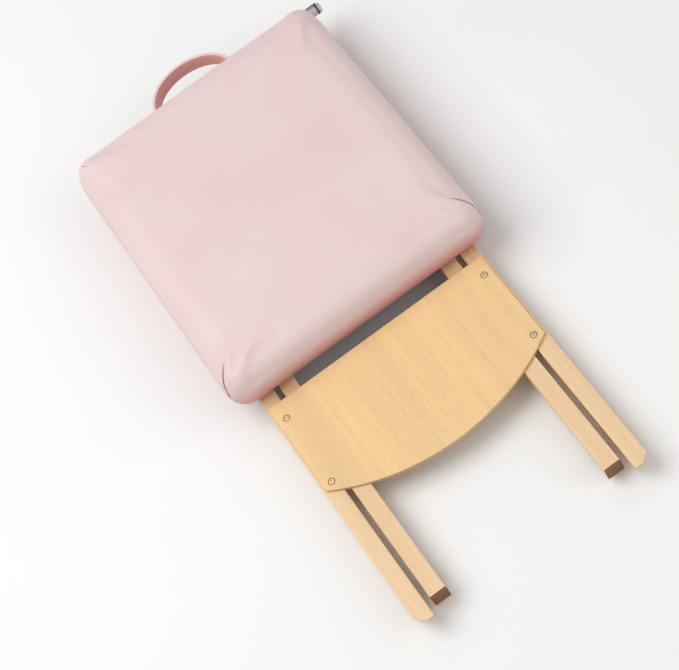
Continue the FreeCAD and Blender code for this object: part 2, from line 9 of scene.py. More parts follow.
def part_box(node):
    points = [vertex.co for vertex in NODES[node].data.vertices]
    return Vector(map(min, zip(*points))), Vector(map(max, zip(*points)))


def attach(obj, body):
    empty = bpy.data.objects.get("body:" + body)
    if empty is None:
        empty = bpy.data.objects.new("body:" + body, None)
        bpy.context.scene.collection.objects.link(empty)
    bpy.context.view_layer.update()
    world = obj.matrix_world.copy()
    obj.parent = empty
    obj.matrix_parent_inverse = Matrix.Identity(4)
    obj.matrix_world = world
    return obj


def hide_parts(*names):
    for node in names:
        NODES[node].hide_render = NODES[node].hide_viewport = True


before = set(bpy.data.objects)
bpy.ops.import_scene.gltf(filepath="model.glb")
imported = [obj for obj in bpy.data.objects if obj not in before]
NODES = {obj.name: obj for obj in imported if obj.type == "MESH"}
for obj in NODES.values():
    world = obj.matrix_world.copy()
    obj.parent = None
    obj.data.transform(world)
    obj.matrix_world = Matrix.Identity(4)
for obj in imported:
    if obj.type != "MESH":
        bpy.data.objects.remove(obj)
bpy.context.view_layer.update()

bl_info = {
    "name": "Folding Manicure Table",
    "version": (1, 0, 0),
    "blender": (4, 5, 0),
    "location": "View3D > Sidebar > Manicure Table",
    "description": "Upholstery, carrying strap, wood and metal finishes of a folding manicure table",
    "category": "Object",
}

TOP_LO, TOP_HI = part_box("pad_cover")
STRAP_LO, STRAP_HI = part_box("handle_strap")
CLOTH_LO, CLOTH_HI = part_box("underside_cloth")

PAD_SLACK = 0.0016          # the pad starts this much inside the cover's outline
PAD_CROWN_DROP = 0.0012     # and this much below its top
HELD_ABOVE = 0.022          # the cover is held up to this height above its underside
HELD_FADE = 0.014           # and let go over this much more
SIDE_SHADE_FROM, SIDE_SHADE_RUN = 0.72, 0.60      # the painted shade, a deeper pink, starts below this share of the height and grows
CREASE_REACH = 0.060        # no tuck touches the vinyl farther than this from its middle
CREASE_FOOT, CREASE_RUN = 0.30, 0.20    # a tuck starts above this share of the height and deepens
CREASE_FADE = 2.2           # a tuck runs out over the last part of its length, one over this
GROOVE_WIDTH = 0.0009       # half width of the groove of a tuck
SHADE_WIDTH = 0.0007        # half width of its dark line
TUCK_WIDTH = 0.007          # the rise and sink beside a tuck fade over this distance
TUCK_OVER, TUCK_UNDER = 0.5, -0.25      # rise of the upper layer and sink of the lower, in fold depths
# Start, bend and end of the tuck at each corner: side in x, side in y, then millimetres in from the corner.
TUCKS = (
    (1, -1, ((0, 17), (11, 39), (30, 48))),
    (-1, -1, ((1, 15), (10, 36), (28, 47))),
    (1, 1, ((6, 7), (14, 13), (28, 27))),
    (-1, 1, ((9, 5), (17, 17), (28, 34))),
)
STRAP_FOOT = 0.026          # flat end of the strap on the anchor
STRAP_BEND = 0.006          # radius where the strap turns away from the top
STRAP_SAG = 0.0010          # droop at the middle of the strap
NOSE_TILT = math.radians(30)            # the outer legs' ends are sawn back by this angle
STAPLE_ROWS = ((0.0215, 0.010), (0.032, 0.006))    # inset from the cover's outline, corner radius


def colour(label, value, note):
    return FloatVectorProperty(name=label, description=note, subtype="COLOR", size=3,
                               min=0.0, max=1.0, default=value)


def length(label, value, note):
    return FloatProperty(name=label, description=note, subtype="DISTANCE", unit="LENGTH",
                         precision=4, default=value)


# ------------------------------------------------------------------ what a user would change
class PadSettings(bpy.types.PropertyGroup):
    voxel: length("Voxel", 0.0046, "Grid size of the pad before it is blown up")
    swell: length("Swell", 0.0042, "Most that the foam may push the vinyl out")
    corner: length("Corner radius", 0.030, "Rounding of the corners seen from above")
    edge: length("Edge radius", 0.021, "Rounding of the upper edge")
    heel: length("Lower radius", 0.018, "Rounding of the lower edge")
    fold: length("Fold depth", 0.0020, "Depth of the tucked crease at each corner")
    pressure: FloatProperty(name="Pressure", description="Air pressure that stands for the foam",
                            min=0.0, default=4.0)
    frames: IntProperty(name="Frames", description="Simulation frames", subtype="UNSIGNED",
                        min=1, default=20)
    vinyl: colour("Vinyl", (0.79, 0.645, 0.635), "Pale pink vinyl of the padded top")
    # Painted shade: the deeper pink low on the sides stands for shade and pink light bounced back onto them
    side_shade: colour("Painted side shade", (0.62, 0.20, 0.21), "Deeper pink low on the sides")
    crease: colour("Crease", (0.20, 0.055, 0.06), "Shadowed line of the corner creases")


class StrapSettings(bpy.types.PropertyGroup):
    thickness: length("Thickness", 0.0045, "Thickness of the folded strap")
    hem: length("Hem", 0.0034, "Distance of each stitch row from the strap's edge")
    pitch: length("Stitch pitch", 0.0042, "Distance from one stitch to the next")
    stitch: length("Stitch length", 0.0030, "Length of one stitch")
    outside: colour("Outside", (0.79, 0.62, 0.60), "Outer face and edges of the strap")
    # Painted shade: the inner face of the strap is coloured as a shaded copy of the same vinyl
    inside: colour("Inside", (0.82, 0.40, 0.375), "Painted shade on the inner face of the strap")
    thread: colour("Thread", (0.72, 0.40, 0.37), "Sewing thread")


class WoodSettings(bpy.types.PropertyGroup):
    beech: colour("Beech", (0.88, 0.64, 0.395), "Early wood of the lacquered legs")
    beech_line: colour("Beech line", (0.77, 0.49, 0.25), "Grain lines of the legs")
    end_grain: colour("End grain", (0.26, 0.095, 0.022), "Stained end grain of the inner legs")
    nose: colour("Nose", (0.36, 0.19, 0.085), "Sawn nose of the outer legs")
    veneer: colour("Veneer", (0.92, 0.63, 0.315), "Face of the plywood")
    glue_line: colour("Glue line", (0.36, 0.215, 0.10), "Darker plies on plywood edges")


class HardwareSettings(bpy.types.PropertyGroup):
    black: colour("Black coat", (0.012, 0.012, 0.013), "Powder coat of brackets and foot bar")
    zinc: colour("Zinc", (0.56, 0.57, 0.58), "Plated screws, bolts and pins")
    brassed: colour("Brassed", (0.80, 0.63, 0.40), "Brassed screws of the leg panel")
    cap: colour("Cap", (0.62, 0.64, 0.64), "Turned cap of the side peg")
    rubber: colour("Rubber", (0.03, 0.03, 0.03), "Soles, bumpers and the ring on the peg")
    staple_pitch: length("Staple pitch", 0.024, "Distance from one staple to the next")
    cloth: colour("Dust cloth", (0.014, 0.014, 0.016), "Non-woven cloth under the top")


class StageSettings(bpy.types.PropertyGroup):
    floor: colour("Floor", (0.90, 0.90, 0.90), "Plain pale floor")
    key: FloatProperty(name="Key light", description="Power of the large soft light", unit="POWER",
                       min=0.0, default=46.0)
    fill: FloatProperty(name="Fill light", description="Power of the side light", unit="POWER",
                        min=0.0, default=16.0)
    sky: FloatProperty(name="Sky", description="Strength of the even light from all round",
                       min=0.0, default=0.50)
    lens: FloatProperty(name="Lens", description="Focal length of the camera", unit="CAMERA",
                        min=1.0, default=127.0)
    roll: FloatProperty(name="Roll", description="Turn of the camera about its view", subtype="ANGLE",
                        unit="ROTATION", default=math.radians(33.78))


# ------------------------------------------------------------------ small builders
def settings(group):
    return getattr(bpy.context.scene, "nail_table_" + group)


def clamped(value, low=0.0, high=1.0):
    return max(low, min(high, value))


def add_object(name, data):
    obj = bpy.data.objects.new(name, data)
    bpy.context.scene.collection.objects.link(obj)
    return obj


def mesh_object(name, bm, smooth=True):
    mesh = bpy.data.meshes.new(name)
    bm.to_mesh(mesh)
    bm.free()
    for face in mesh.polygons:
        face.use_smooth = smooth
    return add_object(name, mesh)


def settle(obj):
    """Turn the evaluated object into a plain mesh and drop its modifiers."""
    bpy.context.view_layer.update()
    graph = bpy.context.evaluated_depsgraph_get()
    mesh = bpy.data.meshes.new_from_object(obj.evaluated_get(graph), depsgraph=graph)
    mesh.name = obj.name
    if obj.type == "MESH":
        obj.modifiers.clear()
        obj.data = mesh
        return obj
    name = obj.name
    obj.name = name + "_path"
    done = add_object(name, mesh)
    bpy.data.objects.remove(obj)
    return done


def outline(lo, hi, inset, radius, z, steps=8, runs=6):
    """Points round a rectangle with rounded corners, anticlockwise from above."""
    x0, x1, y0, y1 = lo.x + inset, hi.x - inset, lo.y + inset, hi.y - inset
    r = max(radius, 0.0005)
    centres = ((x1 - r, y1 - r, 0), (x0 + r, y1 - r, 90), (x0 + r, y0 + r, 180), (x1 - r, y0 + r, 270))
    points = []
    for cx, cy, start in centres:
        for k in range(steps + 1):
            a = math.radians(start + 90 * k / steps)
            points.append(Vector((cx + r * math.cos(a), cy + r * math.sin(a), z)))
    full = []
    for a, b in zip(points, points[1:] + points[:1]):
        full.append(a)
        if (b - a).length > 4 * r * math.pi / 2 / steps:
            full.extend(a.lerp(b, k / runs) for k in range(1, runs))
    return full


def skin_rings(rings):
    """Close a stack of equal rings into one shell."""
    bm = bmesh.new()
    loops = [[bm.verts.new(p) for p in ring] for ring in rings]
    for low, high in zip(loops, loops[1:]):
        n = len(low)
        for k in range(n):
            bm.faces.new((low[k], low[(k + 1) % n], high[(k + 1) % n], high[k]))
    bm.faces.new(list(reversed(loops[0])))
    bm.faces.new(loops[-1])
    bmesh.ops.recalc_face_normals(bm, faces=bm.faces)
    return bm


# ------------------------------------------------------------------ materials
class Finish:
    """A node material that reads Object coordinates."""

    def __init__(self, name):
        self.mat = bpy.data.materials.new(name)
        self.mat.use_nodes = True
        self.tree = self.mat.node_tree
        self.shader = self.tree.nodes["Principled BSDF"]
        self.place = self.tree.nodes.new("ShaderNodeTexCoord").outputs["Object"]

    def node(self, kind, **values):
        made = self.tree.nodes.new(kind)
        for key, value in values.items():
            setattr(made, key, value)
        return made

    def link(self, out, into):
        self.tree.links.new(out, into)

    def set(self, **values):
        for key, value in values.items():
            self.shader.inputs[key.replace("_", " ")].default_value = value

    def mapping(self, scale, rotation=(0, 0, 0)):
        m = self.node("ShaderNodeMapping")
        m.inputs["Scale"].default_value = scale
        m.inputs["Rotation"].default_value = rotation
        self.link(self.place, m.inputs["Vector"])
        return m.outputs["Vector"]

    def noise(self, vector, scale=1.0, detail=4.0, rough=0.5, warp=0.0):
        n = self.node("ShaderNodeTexNoise")
        n.inputs["Scale"].default_value = scale
        n.inputs["Detail"].default_value = detail
        n.inputs["Roughness"].default_value = rough
        n.inputs["Distortion"].default_value = warp
        self.link(vector, n.inputs["Vector"])
        return n.outputs["Fac"]

    def cells(self, vector, scale):
        v = self.node("ShaderNodeTexVoronoi", feature="DISTANCE_TO_EDGE")
        v.inputs["Scale"].default_value = scale
        self.link(vector, v.inputs["Vector"])
        return v.outputs["Distance"]

    def remap(self, value, lo, hi, to_lo=0.0, to_hi=1.0):
        r = self.node("ShaderNodeMapRange", clamp=True)
        for key, number in (("From Min", lo), ("From Max", hi), ("To Min", to_lo), ("To Max", to_hi)):
            r.inputs[key].default_value = number
        self.link(value, r.inputs["Value"])
        return r.outputs["Result"]

    def maths(self, operation, a, b):
        m = self.node("ShaderNodeMath", operation=operation)
        for socket, value in zip(m.inputs, (a, b)):
            if isinstance(value, (int, float)):
                socket.default_value = value
            else:
                self.link(value, socket)
        return m.outputs[0]

    def blend(self, amount, a, b):
        m = self.node("ShaderNodeMix", data_type="RGBA")
        self.link(amount, m.inputs["Factor"])
        for socket, value in ((m.inputs[6], a), (m.inputs[7], b)):
            if hasattr(value, "is_linked"):
                self.link(value, socket)
            else:
                socket.default_value = (*value, 1.0)
        return m.outputs[2]

    def bump(self, height, distance, strength=1.0, under=None):
        b = self.node("ShaderNodeBump")
        b.inputs["Strength"].default_value = strength
        b.inputs["Distance"].default_value = distance
        self.link(height, b.inputs["Height"])
        if under is not None:
            self.link(under, b.inputs["Normal"])
        return b.outputs["Normal"]

    def attribute(self, name):
        return self.node("ShaderNodeAttribute", attribute_name=name).outputs["Fac"]

    def plane(self, point, normal, depth):
        """1 within depth of a plane and beyond it, 0 before it."""
        dot = self.node("ShaderNodeVectorMath", operation="DOT_PRODUCT")
        self.link(self.place, dot.inputs[0])
        dot.inputs[1].default_value = normal
        edge = Vector(normal).dot(Vector(point)) - depth
        return self.remap(dot.outputs["Value"], edge, edge + depth * 0.3)

    def finish(self, base, roughness=None, normal=None):
        self.link(base, self.shader.inputs["Base Color"])
        if roughness is not None:
            self.link(roughness, self.shader.inputs["Roughness"])
        if normal is not None:
            self.link(normal, self.shader.inputs["Normal"])
        return self.mat


def darker(rgb, k):
    return tuple(c * k for c in rgb)


def vinyl_finish(name, base, deep, crease=None):
    """Soft pebbled vinyl: cloudy colour, fine pores and a satin face; painted shade in the pores, and low
    on the sides and along the creases when a crease colour is given.
    """
    f = Finish(name)
    clouds = f.remap(f.noise(f.place, 9.0, 3.0, 0.55), 0.3, 0.72, 0.0, 0.12)
    tint = f.blend(clouds, base, deep)
    if crease is not None:
        # Painted shade: the lower sides blend towards the deep pink
        tint = f.blend(f.maths("MULTIPLY", f.attribute("low"), 0.85), tint, deep)
        # Painted shade: a dark line in the crease colour along each tuck
        tint = f.blend(f.remap(f.attribute("fold"), 0.10, 0.90, 0.0, 0.95), tint, crease)
    pores = f.cells(f.place, 1250.0)
    # Painted shade: the colour darkens a little in the grooves between the pebbles
    tint = f.blend(f.remap(pores, 0.0, 0.12, 0.10, 0.0), tint, darker(deep, 0.8))
    creases = f.noise(f.place, 46.0, 5.0, 0.62, 0.6)
    normal = f.bump(pores, 0.00007, 0.5)
    normal = f.bump(creases, 0.0005, 0.35, normal)
    rough = f.remap(f.noise(f.place, 30.0, 3.0), 0.3, 0.7, 0.40, 0.52)
    f.set(Specular_IOR_Level=0.42, Sheen_Weight=0.12, Sheen_Roughness=0.4)
    return f.finish(tint, rough, normal)


def grain(f, axis, early, late):
    """Long fibres, growth bands and short flecks along one axis; returns colour and height."""
    def along(across, run):
        return f.mapping(tuple(run if k == axis else across for k in range(3)))

    bands = f.remap(f.noise(along(42.0, 1.6), 1.0, 3.0, 0.5, 0.35), 0.35, 0.68)
    fibres = f.remap(f.noise(along(520.0, 9.0), 1.0, 5.0, 0.62), 0.36, 0.70)
    flecks = f.remap(f.noise(along(900.0, 130.0), 1.0, 2.0, 0.5), 0.62, 0.70)
    tint = f.blend(f.maths("MULTIPLY", bands, 0.55), early, late)
    tint = f.blend(f.maths("MULTIPLY", fibres, 0.34), tint, darker(late, 0.86))
    tint = f.blend(f.maths("MULTIPLY", flecks, 0.30), tint, darker(late, 0.66))
    return tint, f.maths("ADD", fibres, flecks)


def beech_finish(name, axis, ends=()):
    """Lacquered beech; ends are (point, normal, colour) of sawn faces."""
    w = settings("wood")
    f = Finish(name)
    tint, height = grain(f, axis, tuple(w.beech), tuple(w.beech_line))
    for point, normal, stain in ends:
        rings = f.remap(f.noise(f.mapping((260.0, 260.0, 900.0)), 1.0, 4.0, 0.6), 0.35, 0.65)
        sawn = f.blend(rings, tuple(stain), darker(tuple(stain), 0.55))
        tint = f.blend(f.plane(point, normal, 0.0004), tint, sawn)
    rough = f.remap(height, 0.0, 2.0, 0.34, 0.52)
    f.set(Specular_IOR_Level=0.4, Coat_Weight=0.18, Coat_Roughness=0.25)
    return f.finish(tint, rough, f.bump(height, 0.00012, 0.5))


def plywood_finish(name, axis, z0, thickness, plies):
    """Plywood: veneer on the faces, stacked plies where the height changes."""
    w = settings("wood")
    f = Finish(name)
    tint, height = grain(f, axis, tuple(w.veneer), darker(tuple(w.veneer), 0.80))
    split = f.node("ShaderNodeSeparateXYZ")
    f.link(f.place, split.inputs[0])
    layer = f.remap(split.outputs["Z"], z0, z0 + thickness, 0.0, float(plies))
    step = f.maths("MODULO", layer, 2.0)
    dark = f.remap(f.maths("ABSOLUTE", f.maths("SUBTRACT", step, 1.5), 0.0), 0.42, 0.50, 1.0, 0.0)
    top = f.remap(split.outputs["Z"], z0 + thickness * 0.90, z0 + thickness * 0.93, 1.0, 0.0)
    foot = f.remap(split.outputs["Z"], z0 + thickness * 0.07, z0 + thickness * 0.10, 0.0, 1.0)
    tint = f.blend(f.maths("MULTIPLY", f.maths("MULTIPLY", dark, top), foot), tint, tuple(w.glue_line))
    f.set(Specular_IOR_Level=0.35)
    return f.finish(tint, f.remap(height, 0.0, 2.0, 0.42, 0.60), f.bump(height, 0.00012, 0.5))


def metal_finish(name, base, metallic, rough, brushed=0.0, axis=0):
    """Metal with fine marks, drawn out along one axis where it was brushed or turned."""
    f = Finish(name)
    scale = [900.0] * 3
    scale[axis] = 40.0 if brushed else 900.0
    marks = f.noise(f.mapping(tuple(scale)), 1.0, 4.0, 0.6)
    stain = f.noise(f.place, 60.0, 4.0, 0.6)
    tint = f.blend(f.remap(stain, 0.35, 0.7, 0.0, 0.35), base, darker(base, 0.72))
    f.set(Metallic=metallic)
    return f.finish(tint, f.remap(marks, 0.3, 0.7, rough * 0.8, rough * 1.25),
                    f.bump(marks, 0.00006, 0.35 + brushed))


def speckled_finish(name, base, scale, rough, depth):
    """Powder coat, rubber or cloth: fine grain on one colour."""
    f = Finish(name)
    fine = f.noise(f.place, scale, 3.0, 0.7)
    broad = f.noise(f.place, 25.0, 3.0, 0.5)
    tint = f.blend(f.remap(fine, 0.35, 0.7), base, tuple(min(1.0, c * 1.7 + 0.006) for c in base))
    tint = f.blend(f.remap(broad, 0.4, 0.7, 0.0, 0.3), tint, darker(base, 0.6))
    f.set(Specular_IOR_Level=0.35)
    rough = f.remap(fine, 0.3, 0.7, rough * 0.85, min(1.0, rough * 1.15))
    return f.finish(tint, rough, f.bump(fine, depth, 0.6))


def weave_finish(name, base):
    """Dust cloth: crossed threads in the plane of the cloth."""
    f = Finish(name)
    threads = []
    for turn in (0.0, math.pi / 2):
        wave = f.node("ShaderNodeTexWave")
        wave.inputs["Scale"].default_value = 260.0
        wave.inputs["Distortion"].default_value = 0.6
        f.link(f.mapping((1, 1, 1), (0, 0, turn)), wave.inputs["Vector"])
        threads.append(wave.outputs["Fac"])
    height = f.maths("MULTIPLY", threads[0], threads[1])
    tint = f.blend(height, base, tuple(c * 2.6 for c in base))
    f.set(Specular_IOR_Level=0.15)
    return f.finish(tint, f.remap(height, 0.0, 1.0, 0.78, 0.95), f.bump(height, 0.0002, 0.6))


def dress(mat, *names):
    """Give CAD nodes a finish; their meshes stay as they are."""
    for name in names:
        data = NODES[name].data
        data.materials.clear()
        data.materials.append(mat)


# ------------------------------------------------------------------ repeats along a path
def run_tree(name):
    """Geometry Nodes tree that sets an item at even steps along a path."""
    tree = bpy.data.node_groups.new(name, "GeometryNodeTree")
    face = tree.interface
    face.new_socket("Path", in_out="INPUT", socket_type="NodeSocketGeometry")
    pitch = face.new_socket("Pitch", in_out="INPUT", socket_type="NodeSocketFloat")
    pitch.default_value = 0.01
    item = face.new_socket("Item", in_out="INPUT", socket_type="NodeSocketObject")
    jitter = face.new_socket("Jitter", in_out="INPUT", socket_type="NodeSocketFloat")
    jitter.default_value = 0.05
    seed = face.new_socket("Seed", in_out="INPUT", socket_type="NodeSocketInt")
    seed.default_value = 7
    finish = face.new_socket("Finish", in_out="INPUT", socket_type="NodeSocketMaterial")
    face.new_socket("Run", in_out="OUTPUT", socket_type="NodeSocketGeometry")
    ids = {"Pitch": pitch.identifier, "Item": item.identifier, "Jitter": jitter.identifier,
           "Seed": seed.identifier, "Finish": finish.identifier}

    nodes, links = tree.nodes, tree.links
    group_in, group_out = nodes.new("NodeGroupInput"), nodes.new("NodeGroupOutput")
    points = nodes.new("GeometryNodeCurveToPoints")
    points.mode = "LENGTH"
    info = nodes.new("GeometryNodeObjectInfo")
    scatter = nodes.new("GeometryNodeInstanceOnPoints")
    wobble = nodes.new("FunctionNodeRandomValue")
    wobble.data_type = "FLOAT"
    wobble.inputs[2].default_value = 0.0
    spread = nodes.new("ShaderNodeMath")
    spread.operation = "ADD"
    spread.inputs[0].default_value = 1.0
    real = nodes.new("GeometryNodeRealizeInstances")
    paint = nodes.new("GeometryNodeSetMaterial")
    links.new(group_in.outputs["Path"], points.inputs["Curve"])
    links.new(group_in.outputs["Pitch"], points.inputs["Length"])
    links.new(group_in.outputs["Item"], info.inputs["Object"])
    links.new(group_in.outputs["Jitter"], wobble.inputs[3])
    links.new(group_in.outputs["Seed"], wobble.inputs["Seed"])
    links.new(wobble.outputs[1], spread.inputs[1])
    links.new(points.outputs["Points"], scatter.inputs["Points"])
    links.new(points.outputs["Rotation"], scatter.inputs["Rotation"])
    links.new(info.outputs["Geometry"], scatter.inputs["Instance"])
    links.new(spread.outputs[0], scatter.inputs["Scale"])
    links.new(scatter.outputs["Instances"], real.inputs["Geometry"])
    links.new(real.outputs["Geometry"], paint.inputs["Geometry"])
    links.new(group_in.outputs["Finish"], paint.inputs["Material"])
    links.new(paint.outputs["Geometry"], group_out.inputs["Run"])
    return tree, ids


def path_object(name, paths, closed):
    """Straight-sided curves through the points, upright so that items keep their turn."""
    curve = bpy.data.curves.new(name, "CURVE")
    curve.dimensions = "3D"
    curve.twist_mode = "Z_UP"
    for points in paths:
        spline = curve.splines.new("POLY")
        spline.points.add(len(points) - 1)
        for slot, p in zip(spline.points, points):
            slot.co = (*p, 1.0)
        spline.use_cyclic_u = closed
    return add_object(name, curve)


def lay_run(name, paths, item, pitch, finish, jitter=0.05, closed=False):
    """Repeat an item along paths as one plain mesh."""
    tree, ids = run_tree(name + "_tree")
    obj = path_object(name, paths, closed)
    mod = obj.modifiers.new("Run", "NODES")
    mod.node_group = tree
    inputs = {"Pitch": pitch, "Item": item, "Jitter": jitter, "Seed": 11, "Finish": finish}
    for key, value in inputs.items():
        mod[ids[key]] = value
    done = settle(obj)
    done.data.materials.clear()
    done.data.materials.append(finish)
    for face in done.data.polygons:
        face.use_smooth = True
        face.material_index = 0
    bpy.data.objects.remove(item)
    return done


def bead(name, long, wide, high):
    """A small rounded item lying along Z, for stitches."""
    bm = bmesh.new()
    bmesh.ops.create_uvsphere(bm, u_segments=8, v_segments=5, radius=0.5)
    for v in bm.verts:
        blunt = math.copysign(abs(v.co.z * 2) ** 0.6 / 2, v.co.z)
        v.co = Vector((v.co.x * wide, v.co.y * high, blunt * long))
    return mesh_object(name, bm)


# ------------------------------------------------------------------ the padded top
def corner_creases():
    """One tuck at each corner of the cover: nine points in plan, and which side lies on top."""
    creases = []
    for sx, sy, steps in TUCKS:
        x0 = TOP_HI.x if sx > 0 else TOP_LO.x
        y0 = TOP_HI.y if sy > 0 else TOP_LO.y
        a, b, c = (Vector((x0 - sx * dx / 1000, y0 - sy * dy / 1000)) for dx, dy in steps)
        rounded = [a * (1 - t) ** 2 + b * 2 * t * (1 - t) + c * t * t for t in (k / 8 for k in range(9))]
        creases.append((rounded, sx * sy))
    return creases


def middle(line):
    return line[len(line) // 2]


def nearest(point, line):
    """Signed distance to a run of points and how far along it the foot lies, 0 to 1."""
    best = (1.0, 0.0)
    for k, (a, b) in enumerate(zip(line, line[1:])):
        way = b - a
        t = clamped((point - a).dot(way) / way.length_squared)
        off = point - (a + way * t)
        if off.length < abs(best[0]):
            side = math.copysign(1.0, way.x * off.y - way.y * off.x)
            best = (side * off.length, (k + t) / (len(line) - 1))
    return best


def gather_corners(mesh, depth):
    """Tuck the cover at its corners, and note the creases and the lower sides for the painted shade of the
    finish.
    """
    creases = corner_creases()
    # The 'fold' attribute holds the painted shade line along each tuck
    mark = mesh.attributes.new("fold", "FLOAT", "POINT")
    # The 'low' attribute holds the mask of the painted shade low on the sides
    low = mesh.attributes.new("low", "FLOAT", "POINT")
    normals = [v.normal.copy() for v in mesh.vertices]
    for v, n in zip(mesh.vertices, normals):
        flat = Vector((v.co.x, v.co.y))
        height = (v.co.z - TOP_LO.z) / (TOP_HI.z - TOP_LO.z)
        ramp = clamped((SIDE_SHADE_FROM - height) / SIDE_SHADE_RUN)
        low.data[v.index].value = ramp * ramp * (3 - 2 * ramp)
        shift, shade = 0.0, 0.0
        for line, hand in creases:
            if (flat - middle(line)).length > CREASE_REACH:
                continue
            d, t = nearest(flat, line)
            d *= hand
            fade = min(1.0, (1.0 - t) * CREASE_FADE) * clamped((height - CREASE_FOOT) / CREASE_RUN)
            if fade <= 0.0:
                continue
            groove = math.exp(-(d / GROOVE_WIDTH) ** 2)
            tuck = math.exp(-abs(d) / TUCK_WIDTH) * (TUCK_OVER if d > 0 else TUCK_UNDER)
            shift += fade * (tuck - groove)
            shade += fade * math.exp(-(d / SHADE_WIDTH) ** 2)
        v.co += n * shift * depth
        mark.data[v.index].value = min(1.0, shade)


class NAILTABLE_OT_pad(bpy.types.Operator):
    """Build the padded top: shape it, blow it up like foam under vinyl, then fold its corners"""
    bl_idname = "nail_table.pad"
    bl_label = "Padded Top"

    def execute(self, context):
        p = settings("pad")
        heel_steps, edge_steps = 4, 8
        rings = []
        for k in range(heel_steps + 1):
            a = math.pi / 2 * k / heel_steps
            rings.append((PAD_SLACK + p.heel * (1 - math.sin(a)), TOP_LO.z + p.heel * (1 - math.cos(a))))
        top = TOP_HI.z - PAD_CROWN_DROP
        for k in range(edge_steps + 1):
            a = math.pi / 2 * k / edge_steps
            rings.append((PAD_SLACK + p.edge * (1 - math.cos(a)), top - p.edge * (1 - math.sin(a))))
        bm = skin_rings([outline(TOP_LO, TOP_HI, cut, p.corner - cut, z) for cut, z in rings])
        pad = mesh_object("padded_top", bm)
        remesh = pad.modifiers.new("Even", "REMESH")
        remesh.mode = "VOXEL"
        remesh.voxel_size = p.voxel
        settle(pad)
        self.inflate(context, pad, p)
        smooth = pad.modifiers.new("Round", "SUBSURF")
        smooth.levels = smooth.render_levels = 1
        settle(pad)
        self.refine_corners(pad.data)
        gather_corners(pad.data, p.fold)
        self.recess_underside(pad.data)
        for face in pad.data.polygons:
            face.use_smooth = True
        pink = vinyl_finish("pink_vinyl", tuple(p.vinyl), tuple(p.side_shade), tuple(p.crease))
        pad.data.materials.clear()
        pad.data.materials.append(pink)
        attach(pad, "top")
        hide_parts("pad_cover", "pad_foam")
        return {"FINISHED"}

    def inflate(self, context, pad, p):
        """Cloth under pressure; the part wrapped round the frame is held."""
        rest = [v.co.copy() for v in pad.data.vertices]
        held = pad.vertex_groups.new(name="frame")
        z_free = TOP_LO.z + HELD_ABOVE + HELD_FADE
        for v in pad.data.vertices:
            weight = clamped((z_free - v.co.z) / HELD_FADE)
            if weight > 0:
                held.add([v.index], weight, "REPLACE")
        cloth = pad.modifiers.new("Foam", "CLOTH")
        s = cloth.settings
        s.quality = 5
        s.mass = 0.35
        s.tension_stiffness = s.compression_stiffness = 18.0
        s.shear_stiffness = 8.0
        s.bending_stiffness = 2.0
        s.use_pressure = True
        s.uniform_pressure_force = p.pressure
        s.vertex_group_mass = "frame"
        s.effector_weights.gravity = 0.0
        cloth.collision_settings.use_collision = False
        cloth.point_cache.frame_start = 1
        cloth.point_cache.frame_end = p.frames
        scene = context.scene
        for number in range(1, p.frames + 1):
            scene.frame_set(number)
        graph = context.evaluated_depsgraph_get()
        moved = [v.co.copy() for v in pad.evaluated_get(graph).data.vertices]
        pad.modifiers.clear()
        for v, a, b in zip(pad.data.vertices, rest, moved):
            d = b - a
            if d.length > 1e-7:
                d *= p.swell * math.tanh(d.length / p.swell) / d.length
            v.co = a + d
        scene.frame_set(1)

    def refine_corners(self, mesh):
        """Finer faces along the creases, in two passes that close in on them."""
        creases = [crease[0] for crease in corner_creases()]
        z_lowest = TOP_LO.z + 0.015

        def beside(point, line, reach):
            return (point - middle(line)).length < 0.05 and abs(nearest(point, line)[0]) < reach

        for reach, cuts in ((0.012, 1), (0.006, 2)):
            bm = bmesh.new()
            bm.from_mesh(mesh)
            close = set()
            for v in bm.verts:
                if v.co.z > z_lowest and any(beside(v.co.xy, line, reach) for line in creases):
                    close.add(v)
            edges = [e for e in bm.edges if e.verts[0] in close and e.verts[1] in close]
            bmesh.ops.subdivide_edges(bm, edges=edges, cuts=cuts, use_grid_fill=True, smooth=0.5)
            bm.to_mesh(mesh)
            bm.free()

    def recess_underside(self, mesh):
        """Leave room for the dust cloth, and press the turned-under vinyl flat."""
        turned_under = settings("pad").heel + 0.001
        cloth_edge = CLOTH_LO.x - TOP_LO.x + 0.002
        for v in mesh.vertices:
            inset = min(v.co.x - TOP_LO.x, TOP_HI.x - v.co.x, v.co.y - TOP_LO.y, TOP_HI.y - v.co.y)
            if v.co.z < TOP_LO.z + 0.004 and inset > turned_under:
                v.co.z = CLOTH_HI.z + 0.0012 if inset > cloth_edge else TOP_LO.z + 0.0001


